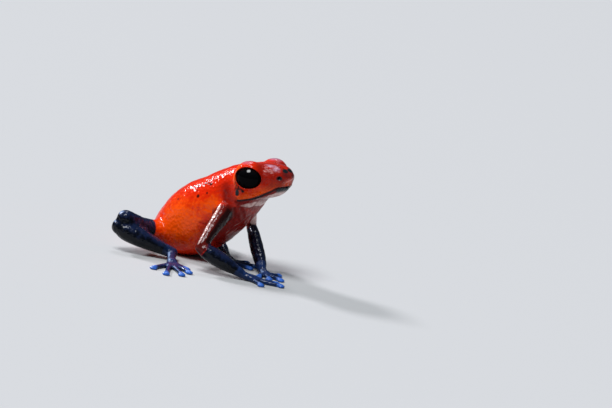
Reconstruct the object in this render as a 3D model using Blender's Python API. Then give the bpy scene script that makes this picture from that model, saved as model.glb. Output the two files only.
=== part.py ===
# Strawberry poison dart frog, life size: a still model that sits with its body propped up
# on its forelegs. The frog faces +X, its left side is +Y, and it rests on the plane z = 0.

import math

import bmesh
import bpy
from mathutils import Matrix, Vector

# Driving dimensions, in millimetres until they reach a mesh
MM = 0.001
GAP = 0.25  # clear space between two parts that meet
SOLE_SINK = 0.06  # how far soft undersides press into the plane they rest on

# The trunk, one line for each station from the vent to the snout: the point on the back and
# the point on the belly as (x, z), half the width, how far up the widest place lies, and how
# square the upper and lower halves of the section are (2 is an ellipse).
STATIONS = (
    ((1.47, 2.43), (1.05, 1.45), 0.55, 0.50, 2.0, 2.0),
    ((1.20, 3.04), (1.60, 0.55), 1.75, 0.48, 2.1, 2.1),
    ((1.33, 4.03), (3.00, 0.05), 2.70, 0.45, 2.2, 2.2),
    ((2.01, 5.41), (5.20, -0.15), 3.40, 0.43, 2.2, 2.3),
    ((3.16, 7.02), (7.32, 0.37), 3.90, 0.43, 2.2, 2.3),
    ((4.87, 8.59), (8.99, 1.47), 4.10, 0.44, 2.2, 2.2),
    ((6.70, 9.64), (10.33, 2.67), 4.00, 0.45, 2.2, 2.2),
    ((8.42, 10.73), (11.49, 3.97), 3.70, 0.46, 2.2, 2.2),
    ((9.97, 11.61), (12.63, 5.34), 3.35, 0.47, 2.3, 2.2),
    ((11.34, 12.25), (13.29, 6.58), 3.20, 0.44, 2.4, 2.2),
    ((12.66, 12.64), (13.71, 7.76), 3.30, 0.40, 2.5, 2.2),
    ((13.87, 12.93), (14.67, 8.73), 3.20, 0.40, 2.6, 2.2),
    ((15.09, 13.07), (15.83, 9.20), 2.75, 0.42, 2.7, 2.3),
    ((16.19, 13.11), (16.65, 9.63), 2.15, 0.44, 2.7, 2.4),
    ((17.18, 12.93), (17.20, 10.18), 1.60, 0.46, 2.6, 2.4),
    ((17.87, 12.39), (17.46, 10.74), 1.08, 0.48, 2.3, 2.3),
    ((18.10, 11.90), (17.49, 11.22), 0.55, 0.50, 2.0, 2.0),
)
LEAN_START, LEAN_END = 8.0, 10.5  # the stations between which the head comes to lean
HEAD_LEAN = math.radians(3.5)  # the left side of the head is a little higher
HEAD_TURN = math.radians(-4.0)  # and the snout points a little to the right
HEAD_PIVOT = Vector((11.5, 0.0, 11.0))
NECK = 8.75  # the station, with its fraction, where the head parts from the trunk
LAST_STATION = len(STATIONS) - 1
TRUNK_SIDES = 30
RINGS_PER_STATION = 3

# Eyes: the right one is given, and the left one mirrors it
EYE_CENTRE = Vector((14.02, -2.32, 11.28))
EYE_AXIS = Vector((0.38, -0.89, 0.20)).normalized()
EYE_RADIUS = 1.55
LID_THICKNESS = 0.22
LID_OPENING = (1.62, 1.30)  # half the length and half the height of the opening
LID_CUTTER_DEPTH = 1.75  # half the depth of the ball that cuts the opening
LID_CUTTER_PLACE = 2.30  # from the eye's centre to the middle of that ball

# The mouth seen from the side, as (x, z) from its corner to the front of the lip
MOUTH = ((13.43, 8.51), (14.33, 8.82), (15.51, 9.43), (16.69, 10.20), (17.30, 10.73), (17.9, 10.92))
MOUTH_STATIONS = [10.35 + 0.55 * i for i in range(10)]
MOUTH_WIDTH = 0.12
LIP_RADIUS = 0.32
LIP_SINK = 0.24  # how deep the middle of the lip lies in the head
LIP_LIFT = 0.28  # how far the upper lip lies above the line of the mouth
CORNER_SHARE = 0.55  # the mouth's and the lip's thickness at the corner
NOSTRIL = (17.42, 11.89)
NOSTRIL_RADIUS = 0.20
TYMPANUM = (13.18, 9.44)
TYMPANUM_RADIUS = 0.42

# Limbs of each side as centre lines with a radius at each point
UPPER_ARM = {
    "right": (((11.0, -1.9, 7.4), 1.15), ((11.75, -3.7, 6.35), 1.00), ((11.72, -5.3, 4.7), 0.82),
              ((11.8, -6.85, 2.95), 0.64)),
    "left": (((10.7, 1.9, 7.3), 1.10), ((10.6, 3.7, 6.3), 0.90), ((10.4, 4.8, 5.2), 0.72),
             ((10.3, 5.2, 4.5), 0.60)),
}
FOREARM = {
    "right": (((11.75, -6.95, 2.75), 0.64), ((12.75, -6.45, 2.3), 0.93), ((14.2, -5.65, 1.65), 0.92),
              ((15.5, -4.95, 1.03), 0.65), ((16.2, -4.6, 0.68), 0.52)),
    "left": (((10.35, 5.15, 4.35), 0.60), ((11.55, 4.3, 3.4), 0.76), ((13.32, 2.8, 2.05), 0.80),
             ((14.8, 1.5, 1.08), 0.68), ((15.4, 0.85, 0.72), 0.56)),
}
THIGH = {
    "right": (((3.5, -1.0, 2.3), 1.60), ((3.1, -3.6, 2.25), 1.48), ((2.3, -5.85, 2.75), 1.30),
              ((1.60, -7.8, 3.72), 1.08)),
    "left": (((3.5, 1.0, 2.3), 1.60), ((3.3, 3.6, 2.25), 1.50), ((2.9, 5.9, 2.6), 1.32),
             ((2.5, 7.8, 3.0), 1.08)),
}
SHANK = {
    "right": (((1.20, -8.25, 2.75), 0.92), ((2.25, -7.9, 2.35), 1.12), ((3.9, -7.05, 1.85), 1.06),
              ((5.7, -6.0, 1.25), 0.78), ((7.0, -5.3, 0.88), 0.64)),
    "left": (((2.3, 8.3, 2.2), 0.92), ((3.3, 7.7, 2.0), 1.12), ((4.9, 6.4, 1.65), 1.04),
             ((6.7, 4.7, 1.2), 0.78), ((8.1, 3.6, 0.92), 0.64)),
}
PALM = {
    "right": (((16.3, -4.5, 0.60), 0.50), ((17.0, -4.2, 0.42), 0.56), ((17.6, -3.95, 0.34), 0.58)),
    "left": (((15.55, 0.7, 0.62), 0.52), ((16.1, 0.3, 0.42), 0.54), ((16.6, 0.0, 0.34), 0.56)),
}
# Each finger or toe: its middle and its tip on the ground, from the inner one outward
FINGERS = {
    "right": (((17.8, -3.3), (18.5, -2.7)), ((18.6, -3.2), (19.6, -2.25)),
              ((18.9, -3.55), (20.55, -2.80)), ((18.3, -4.6), (19.3, -5.1))),
    "left": (((16.4, -0.7), (16.6, -1.5)), ((17.1, -0.5), (17.9, -1.2)),
             ((17.5, 0.0), (18.8, -0.1)), ((17.0, 0.9), (17.2, 1.95))),
}
SOLE = {
    "right": (((7.05, -5.5, 0.78), 0.62), ((8.0, -6.8, 0.55), 0.52), ((9.0, -8.0, 0.42), 0.66)),
    "left": (((8.4, 3.35, 0.78), 0.62), ((9.6, 2.3, 0.55), 0.50), ((10.6, 1.3, 0.42), 0.64)),
}
TOES = {
    "right": (((10.1, -7.9), (11.2, -8.1)), ((10.6, -8.6), (12.3, -9.2)),
              ((10.5, -9.4), (12.6, -11.1)), ((10.0, -10.0), (11.6, -12.7)),
              ((9.1, -9.5), (9.2, -11.8))),
    "left": (((10.9, 0.3), (11.2, -0.7)), ((11.6, 0.6), (12.7, 0.0)), ((12.0, 1.2), (13.7, 1.2)),
             ((11.9, 2.0), (13.4, 3.0)), ((11.1, 2.3), (11.7, 3.6))),
}
DIGIT_RADIUS = 0.27
DISC = (0.50, 0.44, 0.22)  # half the width, length and thickness of a disc at a digit's tip
LIMB_SIDES = 12
DIGIT_SIDES = 8
RINGS_PER_POINT = 3
RINGS_PER_JOINT = 2


# Materials

COLOURS = {
    "skin_red": (0.72, 0.055, 0.006),
    "skin_blue": (0.010, 0.018, 0.060),
    "eye": (0.004, 0.004, 0.005),
}


def make_material(name, roughness):
    material = bpy.data.materials.new(name)
    material.use_nodes = True
    shader = material.node_tree.nodes["Principled BSDF"]
    shader.inputs["Base Color"].default_value = (*COLOURS[name], 1.0)
    shader.inputs["Roughness"].default_value = roughness
    shader.inputs["Metallic"].default_value = 0.0
    return material


# Curves through a few points

def spline(values, t):
    """A smooth curve through equally spaced values, at the fractional place t."""
    last = len(values) - 1
    i = min(int(t), last - 1)
    f = t - i
    p0, p1, p2, p3 = (values[min(max(j, 0), last)] for j in (i - 1, i, i + 1, i + 2))
    return tuple(
        b + 0.5 * f * (c - a + f * (2 * a - 5 * b + 4 * c - d + f * (3 * (b - c) + d - a)))
        for a, b, c, d in zip(p0, p1, p2, p3)
    )


FLAT_STATIONS = tuple((*back, *belly, *rest) for back, belly, *rest in STATIONS)


def level_point(t, angle, grow=0.0):
    """A point on the trunk or the upright head: angle 0 is the left side, 90 degrees the back."""
    bx, bz, vx, vz, width, middle, upper, lower = spline(FLAT_STATIONS, t)
    back, belly = Vector((bx, 0, bz)), Vector((vx, 0, vz))
    rise = (back - belly).normalized()
    centre = belly.lerp(back, middle)
    square = 2.0 / (upper if math.sin(angle) > 0 else lower)
    height = ((back - centre) if math.sin(angle) > 0 else (centre - belly)).length + grow
    side = math.copysign(abs(math.cos(angle)) ** square, math.cos(angle)) * (width + grow)
    up = math.copysign(abs(math.sin(angle)) ** square, math.sin(angle)) * height
    return centre + Vector((0, side, 0)) + rise * up


def head_matrix(t=LEAN_END):
    """How the upright head is leant and turned, as far as station t is."""
    share = min(max((t - LEAN_START) / (LEAN_END - LEAN_START), 0.0), 1.0)
    share = share * share * (3 - 2 * share)
    return Matrix.Rotation(HEAD_TURN * share, 3, "Z") @ Matrix.Rotation(HEAD_LEAN * share, 3, "X")


def lean(point, t=LEAN_END):
    return HEAD_PIVOT + head_matrix(t) @ (point - HEAD_PIVOT)


def trunk_point(t, angle, grow=0.0):
    return lean(level_point(t, angle, grow), t)


# Closed meshes

def mesh_object(name, points, faces):
    mesh = bpy.data.meshes.new(name)
    mesh.from_pydata([Vector(p) * MM for p in points], [], faces)
    made = bpy.data.objects.new(name, mesh)
    bpy.context.scene.collection.objects.link(made)
    shape = bmesh.new()
    shape.from_mesh(mesh)
    bmesh.ops.recalc_face_normals(shape, faces=shape.faces)
    shape.to_mesh(mesh)
    shape.free()
    return made


def skin_rings(name, rings):
    """A closed surface over rings of points, each end filled from its middle."""
    sides = len(rings[0])
    points = [p for ring in rings for p in ring]
    faces = []
    for i in range(len(rings) - 1):
        for j in range(sides):
            k = (j + 1) % sides
            faces.append((i * sides + j, i * sides + k, (i + 1) * sides + k, (i + 1) * sides + j))
    for i in (0, len(rings) - 1):
        hub = len(points)
        points.append(sum((Vector(p) for p in rings[i]), Vector()) / sides)
        faces += [(hub, i * sides + j, i * sides + (j + 1) % sides) for j in range(sides)]
    return mesh_object(name, points, faces)


def trunk_piece(name, start, end, grow=0.0):
    count = round((end - start) * RINGS_PER_STATION) + 1
    turns = [2 * math.pi * (j + 0.5) / TRUNK_SIDES for j in range(TRUNK_SIDES)]
    rings = []
    for i in range(count):
        t = start + (end - start) * i / (count - 1)
        rings.append([trunk_point(t, a, grow) for a in turns])
    return skin_rings(name, rings)


def tube(name, path, sides, grow=0.0, flat=1.0, rings_per_point=RINGS_PER_POINT, round_ends=(0.65, 1.25)):
    """A tapering limb with round ends along a centre line of (point, radius) pairs."""
    values = [(*point, radius) for point, radius in path]
    steps = (len(values) - 1) * rings_per_point
    line = [spline(values, i / rings_per_point) for i in range(steps + 1)]
    centres = [Vector(v[:3]) for v in line]
    radii = [v[3] + grow for v in line]
    heads = [(centres[min(i + 1, steps)] - centres[max(i - 1, 0)]).normalized()
             for i in range(steps + 1)]
    stops = [(centres[0] - heads[0] * radii[0] * math.sin(b), radii[0] * math.cos(b), heads[0])
             for b in reversed(round_ends)]
    stops += list(zip(centres, radii, heads))
    stops += [(centres[-1] + heads[-1] * radii[-1] * math.sin(b), radii[-1] * math.cos(b), heads[-1])
              for b in round_ends]
    side = heads[0].cross(Vector((0, 0, 1))).normalized()
    rings = []
    for centre, radius, head in stops:
        side = (side - head * side.dot(head)).normalized()
        up = side.cross(head)
        rings.append([
            centre + side * radius * math.cos(a) + up * radius * flat * math.sin(a)
            for a in (2 * math.pi * (j + 0.5) / sides for j in range(sides))
        ])
    return skin_rings(name, rings)


def ball(name, centre, radii, segments, rings, axis=Vector((0, 0, 1))):
    """An ellipsoid whose third radius lies along the axis."""
    across = axis.cross(Vector((0, 0, 1)))
    across = across.normalized() if across.length > 0.01 else Vector((1, 0, 0))
    over = axis.cross(across).normalized()
    circles = []
    for i in range(1, rings):
        b = math.pi * i / rings - math.pi / 2
        circles.append([
            centre + across * radii[0] * math.cos(b) * math.cos(a)
            + over * radii[1] * math.cos(b) * math.sin(a) + axis * radii[2] * math.sin(b)
            for a in (2 * math.pi * j / segments for j in range(segments))
        ])
    return skin_rings(name, circles)


# Joining, cutting and tidying solids

def run_boolean(target, operation, operands):
    """Applies one Boolean of all the operands to the target, and removes them."""
    group = bpy.data.collections.new("operands")
    bpy.context.scene.collection.children.link(group)
    for other in operands:
        bpy.context.scene.collection.objects.unlink(other)
        group.objects.link(other)
    modifier = target.modifiers.new("join", "BOOLEAN")
    modifier.operation = operation
    modifier.operand_type = "COLLECTION"
    modifier.collection = group
    modifier.solver = "MANIFOLD"
    bpy.context.view_layer.objects.active = target
    bpy.ops.object.modifier_apply(modifier=modifier.name)
    for other in operands:
        bpy.data.objects.remove(other)
    bpy.data.collections.remove(group)
    keep_largest(target)


def keep_largest(target):
    """Drops all but the largest closed surface."""
    shape = bmesh.new()
    shape.from_mesh(target.data)
    left = set(shape.verts)
    pieces = []
    while left:
        seed = left.pop()
        piece, edge = {seed}, [seed]
        while edge:
            for link in edge.pop().link_edges:
                for vert in link.verts:
                    if vert not in piece:
                        piece.add(vert)
                        edge.append(vert)
        left -= piece
        pieces.append(piece)
    keep = max(pieces, key=len)
    bmesh.ops.delete(shape, geom=[v for v in shape.verts if v not in keep], context="VERTS")
    shape.to_mesh(target.data)
    shape.free()


def rest_on_ground(target):
    """Cuts off what presses below the ground and closes it with a flat sole."""
    shape = bmesh.new()
    shape.from_mesh(target.data)
    everything = shape.verts[:] + shape.edges[:] + shape.faces[:]
    cut = bmesh.ops.bisect_plane(
        shape, geom=everything, plane_co=(0, 0, 0), plane_no=(0, 0, -1), clear_outer=True
    )
    rim = [e for e in cut["geom_cut"] if isinstance(e, bmesh.types.BMEdge)]
    bmesh.ops.holes_fill(shape, edges=rim)
    bmesh.ops.triangulate(shape, faces=shape.faces)
    shape.to_mesh(target.data)
    shape.free()


def finish(target, material):
    target.data.materials.clear()
    target.data.materials.append(material)
    target.data.shade_smooth()
    target.data.set_sharp_from_angle(angle=math.radians(40))


# The head and its features

def mirrored(vector):
    return Vector((vector.x, -vector.y, vector.z))


def sides_of(centre, axis):
    """The place and direction on the right and on the left, leant with the head."""
    yield "right", lean(centre), head_matrix() @ axis
    yield "left", lean(mirrored(centre)), head_matrix() @ mirrored(axis)


def surface_at(x, z):
    """The point of the right side of the upright head at this x and z, and the way out from it."""
    turns = [math.radians(a) for a in range(92, 268, 2)]
    places = [(t / 20, a) for t in range(180, 318) for a in turns]
    t, a = min(places, key=lambda p: (level_point(*p).x - x) ** 2 + (level_point(*p).z - z) ** 2)
    along = level_point(t + 0.05, a) - level_point(t - 0.05, a)
    around = level_point(t, a + 0.03) - level_point(t, a - 0.03)
    out = along.cross(around).normalized()
    return level_point(t, a), out if out.y < 0 else -out


def mouth_height(x):
    """The height of the mouth at x, on straight lines between its points."""
    for (x0, z0), (x1, z1) in zip(MOUTH[:-1], MOUTH[1:]):
        if x <= x1:
            break
    return z0 + (z1 - z0) * max(x - x0, 0) / (x1 - x0)


def mouth_angle(t, lift):
    """Where the ring t of the right side meets a line at this height above the mouth."""
    low, high = math.radians(180), math.radians(268)
    for _ in range(30):
        angle = (low + high) / 2
        point = level_point(t, angle)
        low, high = (angle, high) if point.z - lift > mouth_height(point.x) else (low, angle)
    return angle


def mouth_line(radius, lift=0.0, sink=0.0):
    """Points along the mouth from the right corner round the snout to the left corner."""
    right = [level_point(t, mouth_angle(t, lift), -sink) for t in MOUTH_STATIONS]
    front = Vector((level_point(LAST_STATION - 0.1, math.pi * 1.5).x + 0.06 - sink, 0, right[-1].z + 0.04))
    points = [lean(p) for p in right + [front] + [mirrored(p) for p in reversed(right)]]
    ends = (0, len(points) - 1)
    return [(p, radius * (CORNER_SHARE if i in ends else 1.0)) for i, p in enumerate(points)]


def make_head():
    head = trunk_piece("head", NECK + neck_half_gap(), LAST_STATION)
    added = []
    for side, centre, axis in sides_of(EYE_CENTRE, EYE_AXIS):
        radius = EYE_RADIUS + GAP + LID_THICKNESS
        added.append(ball("hood_" + side, centre, (radius, radius, radius), 22, 12, axis))
    added.append(tube("lip", mouth_line(LIP_RADIUS, LIP_LIFT, LIP_SINK), 8, rings_per_point=1))
    run_boolean(head, "UNION", added)
    cut = [tube("mouth", mouth_line(MOUTH_WIDTH), 6, rings_per_point=1)]
    for side, centre, axis in sides_of(EYE_CENTRE, EYE_AXIS):
        radius = EYE_RADIUS + GAP
        cut.append(ball("socket_" + side, centre, (radius, radius, radius), 22, 12, axis))
        outer = centre + axis * LID_CUTTER_PLACE
        cut.append(ball("opening_" + side, outer, (*LID_OPENING, LID_CUTTER_DEPTH), 22, 12, axis))
    for name, place, radii in (
        ("nostril_", NOSTRIL, (NOSTRIL_RADIUS * 1.2, NOSTRIL_RADIUS, NOSTRIL_RADIUS * 1.6)),
        ("tympanum_", TYMPANUM, (TYMPANUM_RADIUS, TYMPANUM_RADIUS, TYMPANUM_RADIUS * 0.35)),
    ):
        for side, centre, axis in sides_of(*surface_at(*place)):
            cut.append(ball(name + side, centre, radii, 10, 6, axis))
    run_boolean(head, "DIFFERENCE", cut)
    return head


def neck_half_gap():
    """Half the gap at the neck, as a fraction of a station."""
    step = 0.1
    move = (trunk_point(NECK + step, 0) - trunk_point(NECK, 0)).length / step
    return GAP / 2 / move


def make_eye(side, centre, axis):
    return ball("eye_" + side, centre, (EYE_RADIUS,) * 3, 20, 12, axis)


# Limbs, hands and feet

def make_segment(name, path, parent_path=None, parent_is_trunk=False):
    """A limb segment, hollowed where it meets the part it grows from."""
    segment = tube(name, path, LIMB_SIDES)
    cutters = []
    if parent_is_trunk:
        cutters.append(trunk_piece("cutter", 0, LAST_STATION, GAP))
    if parent_path:
        cutters.append(tube("cutter", parent_path, LIMB_SIDES, GAP))
    run_boolean(segment, "DIFFERENCE", cutters)
    return segment


def make_digits(name, base_path, digits, root, parent_path):
    """A hand or a foot: a palm or sole with a thin digit to each tip, which ends in a disc."""
    node = tube(name, base_path, LIMB_SIDES, flat=0.82)
    added = []
    height = DIGIT_RADIUS - SOLE_SINK
    for number, (middle, tip) in enumerate(digits):
        path = (
            (root, DIGIT_RADIUS * 1.15),
            ((*middle, height + 0.05), DIGIT_RADIUS),
            ((*tip, height), DIGIT_RADIUS * 0.95),
        )
        added.append(tube(
            f"digit_{number}", path, DIGIT_SIDES,
            rings_per_point=RINGS_PER_JOINT, round_ends=(0.9,),
        ))
        heading = Vector((tip[0] - middle[0], tip[1] - middle[1], 0)).normalized()
        disc = disc_object(f"disc_{number}", Vector((*tip, DISC[2] - SOLE_SINK)), heading)
        added.append(disc)
    run_boolean(node, "UNION", added)
    run_boolean(node, "DIFFERENCE", [tube("cutter", parent_path, LIMB_SIDES, GAP)])
    rest_on_ground(node)
    return node


def disc_object(name, centre, heading):
    disc = ball(name, Vector((0, 0, 0)), (DISC[1], DISC[0], DISC[2]), 10, 5)
    turn = math.atan2(heading.y, heading.x)
    for vert in disc.data.vertices:
        x, y, z = vert.co / MM
        ahead = x * math.cos(turn) - y * math.sin(turn)
        beside = x * math.sin(turn) + y * math.cos(turn)
        vert.co = (centre + Vector((ahead, beside, z))) * MM
    return disc


def centre_over_origin(parts):
    """Moves all parts so that the middle of their box stands over the origin."""
    corners = [v.co for part in parts for v in part.data.vertices]
    middle_x = (min(c.x for c in corners) + max(c.x for c in corners)) / 2
    middle_y = (min(c.y for c in corners) + max(c.y for c in corners)) / 2
    for part in parts:
        for vert in part.data.vertices:
            vert.co -= Vector((middle_x, middle_y, 0))


def main():
    for old in list(bpy.data.objects):
        bpy.data.objects.remove(old)
    red = make_material("skin_red", 0.28)
    blue = make_material("skin_blue", 0.30)
    eye = make_material("eye", 0.06)
    parts = []

    torso = trunk_piece("torso", 0, NECK - neck_half_gap())
    rest_on_ground(torso)
    finish(torso, red)
    head = make_head()
    finish(head, red)
    parts += [torso, head]

    for side, centre, axis in sides_of(EYE_CENTRE, EYE_AXIS):
        ball_part = make_eye(side, centre, axis)
        finish(ball_part, eye)
        parts.append(ball_part)

    for side in ("right", "left"):
        upper = make_segment("upper_arm_" + side, UPPER_ARM[side], parent_is_trunk=True)
        finish(upper, red)
        forearm = make_segment("forearm_" + side, FOREARM[side], UPPER_ARM[side])
        thigh = make_segment("thigh_" + side, THIGH[side], parent_is_trunk=True)
        shank = make_segment("shank_" + side, SHANK[side], THIGH[side], parent_is_trunk=True)
        hand_root = Vector(PALM[side][1][0])
        hand = make_digits("hand_" + side, PALM[side], FINGERS[side], hand_root, FOREARM[side])
        foot_root = Vector(SOLE[side][2][0])
        foot = make_digits("foot_" + side, SOLE[side], TOES[side], foot_root, SHANK[side])
        for part in (forearm, thigh, shank, hand, foot):
            finish(part, blue)
        parts += [upper, forearm, thigh, shank, hand, foot]

    centre_over_origin(parts)


main()
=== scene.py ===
# Strawberry poison dart frog, life size: its skin, its eyes, and the studio it is seen in.
# Sizes are millimetres in the frog's own frame: it faces +X, and its left side is +Y.

import math

import bmesh
import bpy
import numpy as np
from mathutils import Matrix, Vector, noise


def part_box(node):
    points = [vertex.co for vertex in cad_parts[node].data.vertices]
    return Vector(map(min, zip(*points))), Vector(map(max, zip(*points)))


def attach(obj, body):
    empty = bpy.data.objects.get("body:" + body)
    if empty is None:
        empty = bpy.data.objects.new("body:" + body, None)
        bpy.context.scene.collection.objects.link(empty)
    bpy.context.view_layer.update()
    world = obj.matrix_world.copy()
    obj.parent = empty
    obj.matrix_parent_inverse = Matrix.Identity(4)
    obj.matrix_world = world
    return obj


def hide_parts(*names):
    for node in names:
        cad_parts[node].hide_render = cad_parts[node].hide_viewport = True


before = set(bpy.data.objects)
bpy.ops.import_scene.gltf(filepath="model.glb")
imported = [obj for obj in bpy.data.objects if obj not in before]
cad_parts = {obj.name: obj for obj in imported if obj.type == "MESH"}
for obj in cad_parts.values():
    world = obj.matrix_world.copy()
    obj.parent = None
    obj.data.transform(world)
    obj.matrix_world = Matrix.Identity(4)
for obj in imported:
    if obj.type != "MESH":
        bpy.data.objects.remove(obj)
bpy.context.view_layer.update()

MM = 0.001

# The trunk, one line for each station from the vent to the snout: the point on the back and
# the point on the belly as (x, z), half the width, how far up the widest place lies, and how
# square the upper and lower halves of the section are (2 is an ellipse).
STATIONS = (
    ((1.47, 2.43), (1.05, 1.45), 0.55, 0.50, 2.0, 2.0),
    ((1.20, 3.04), (1.60, 0.55), 1.75, 0.48, 2.1, 2.1),
    ((1.33, 4.03), (3.00, 0.05), 2.70, 0.45, 2.2, 2.2),
    ((2.01, 5.41), (5.20, -0.15), 3.40, 0.43, 2.2, 2.3),
    ((3.16, 7.02), (7.32, 0.37), 3.90, 0.43, 2.2, 2.3),
    ((4.87, 8.59), (8.99, 1.47), 4.10, 0.44, 2.2, 2.2),
    ((6.70, 9.64), (10.33, 2.67), 4.00, 0.45, 2.2, 2.2),
    ((8.42, 10.73), (11.49, 3.97), 3.70, 0.46, 2.2, 2.2),
    ((9.97, 11.61), (12.63, 5.34), 3.35, 0.47, 2.3, 2.2),
    ((11.34, 12.25), (13.29, 6.58), 3.20, 0.44, 2.4, 2.2),
    ((12.66, 12.64), (13.71, 7.76), 3.30, 0.40, 2.5, 2.2),
    ((13.87, 12.93), (14.67, 8.73), 3.20, 0.40, 2.6, 2.2),
    ((15.09, 13.07), (15.83, 9.20), 2.75, 0.42, 2.7, 2.3),
    ((16.19, 13.11), (16.65, 9.63), 2.15, 0.44, 2.7, 2.4),
    ((17.18, 12.93), (17.20, 10.18), 1.60, 0.46, 2.6, 2.4),
    ((17.87, 12.39), (17.46, 10.74), 1.08, 0.48, 2.3, 2.3),
    ((18.10, 11.90), (17.49, 11.22), 0.55, 0.50, 2.0, 2.0),
)
LEAN_START, LEAN_END = 8.0, 10.5  # the stations between which the head comes to lean
HEAD_LEAN = math.radians(3.5)  # the left side of the head is a little higher
HEAD_TURN = math.radians(-4.0)  # and the snout points a little to the right
HEAD_PIVOT = Vector((11.5, 0.0, 11.0))

# Eyes: the right one is given, and the left one mirrors it
EYE_CENTRE = Vector((14.02, -2.32, 11.28))
EYE_AXIS = Vector((0.38, -0.89, 0.20)).normalized()
EYE_RADIUS = 1.55
SOCKET_RADIUS = 1.50
LID_RADIUS = 1.69  # how far from the eye's centre the outside of the lids lies at least
LID_OPENING = (1.52, 1.15)  # half the length and height of the opening between the lids
LID_DROP = 0.09  # how far the middle of the opening lies below the eye's middle
BROW_RADII = (1.80, 1.80, 1.62)  # half the lids' length, height and depth
BROW_RISE = 0.15

# The cutter of each opening between the lids: how far out of the eye each ring lies, in mm,
# and how many times the opening's size it is
OPENING_RINGS = ((0.05, 1.0), (0.6, 1.0), (1.2, 1.06), (3.0, 1.4))
OPENING_SIDES = 72

# The mouth seen from the side, as (x, z) from its corner to the front of the lip
MOUTH = ((13.43, 8.51), (14.33, 8.82), (15.51, 9.43), (16.69, 10.20), (17.30, 10.73), (17.9, 10.92))
MOUTH_STATIONS = tuple(10.1 + 0.2 * i for i in range(28))
MOUTH_FRONT_STATION = 15.8
HEAD_STATIONS = tuple(step / 20 for step in range(180, 318))  # where nostril and eardrum are sought
MOUTH_DEPTH = 0.20
MOUTH_WIDTH = 0.07
UPPER_LIP_RISE = 0.06
LOWER_LIP_SINK = 0.05
NOSTRIL = (17.42, 11.89)
NOSTRIL_RADIUS = 0.20
NOSTRIL_DEPTH = 0.26
NOSTRIL_RIM_RADIUS = 0.29
NOSTRIL_RIM_HEIGHT = 0.05
TYMPANUM = (13.18, 9.44)
TYMPANUM_RADIUS = 0.42
TYMPANUM_DEPTH = 0.03
TYMPANUM_RIM_DEPTH = 0.05

# Creases of the skin on the right side, which the left side mirrors: points and a depth
CREASES = (
    (((11.35, -3.4, 8.9), (11.62, -3.35, 8.1), (11.93, -3.15, 7.1)), 0.13),
    (((13.3, -0.4, 6.3), (12.87, -0.63, 5.79), (12.23, -1.06, 4.99), (11.26, -1.17, 3.87)), 0.10),
    (((13.2, -2.2, 7.35), (13.0, -1.2, 6.5), (12.5, -0.5, 5.3), (11.9, -0.3, 4.4)), 0.07),
    (((12.7, -2.9, 7.2), (12.6, -2.4, 6.5), (12.2, -2.0, 5.5)), 0.08),
    (((9.9, -3.3, 5.2), (10.3, -2.9, 4.0), (10.1, -2.2, 2.9)), 0.06),
)
CREASE_WIDTH = 0.17
CREASE_EDGE = 0.32  # how far from the middle of a crease its raised edges lie
CREASE_EDGE_SHARE = 0.35  # how high they are, as a share of its depth

# Limbs of each side as centre lines with a radius at each point
UPPER_ARM = {
    "right": (((11.0, -1.9, 7.4), 1.15), ((11.75, -3.7, 6.35), 1.00), ((11.72, -5.3, 4.7), 0.82),
              ((11.8, -6.85, 2.95), 0.64)),
    "left": (((10.7, 1.9, 7.3), 1.10), ((10.6, 3.7, 6.3), 0.90), ((10.4, 4.8, 5.2), 0.72),
             ((10.3, 5.2, 4.5), 0.60)),
}
FOREARM = {
    "right": (((11.75, -6.95, 2.75), 0.64), ((12.75, -6.45, 2.3), 0.93), ((14.2, -5.65, 1.65), 0.92),
              ((15.5, -4.95, 1.03), 0.65), ((16.2, -4.6, 0.68), 0.52)),
    "left": (((10.35, 5.15, 4.35), 0.60), ((11.55, 4.3, 3.4), 0.76), ((13.32, 2.8, 2.05), 0.80),
             ((14.8, 1.5, 1.08), 0.68), ((15.4, 0.85, 0.72), 0.56)),
}
THIGH = {
    "right": (((3.5, -1.0, 2.3), 1.60), ((3.1, -3.6, 2.25), 1.48), ((2.3, -5.85, 2.75), 1.30),
              ((1.60, -7.8, 3.72), 1.08)),
    "left": (((3.5, 1.0, 2.3), 1.60), ((3.3, 3.6, 2.25), 1.50), ((2.9, 5.9, 2.6), 1.32),
             ((2.5, 7.8, 3.0), 1.08)),
}
SHANK = {
    "right": (((1.20, -8.25, 2.75), 0.92), ((2.25, -7.9, 2.35), 1.12), ((3.9, -7.05, 1.85), 1.06),
              ((5.7, -6.0, 1.25), 0.78), ((7.0, -5.3, 0.88), 0.64)),
    "left": (((2.3, 8.3, 2.2), 0.92), ((3.3, 7.7, 2.0), 1.12), ((4.9, 6.4, 1.65), 1.04),
             ((6.7, 4.7, 1.2), 0.78), ((8.1, 3.6, 0.92), 0.64)),
}
PALM = {
    "right": (((16.3, -4.5, 0.60), 0.50), ((17.0, -4.2, 0.42), 0.56), ((17.6, -3.95, 0.34), 0.58)),
    "left": (((15.55, 0.7, 0.62), 0.52), ((16.1, 0.3, 0.42), 0.54), ((16.6, 0.0, 0.34), 0.56)),
}
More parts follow.
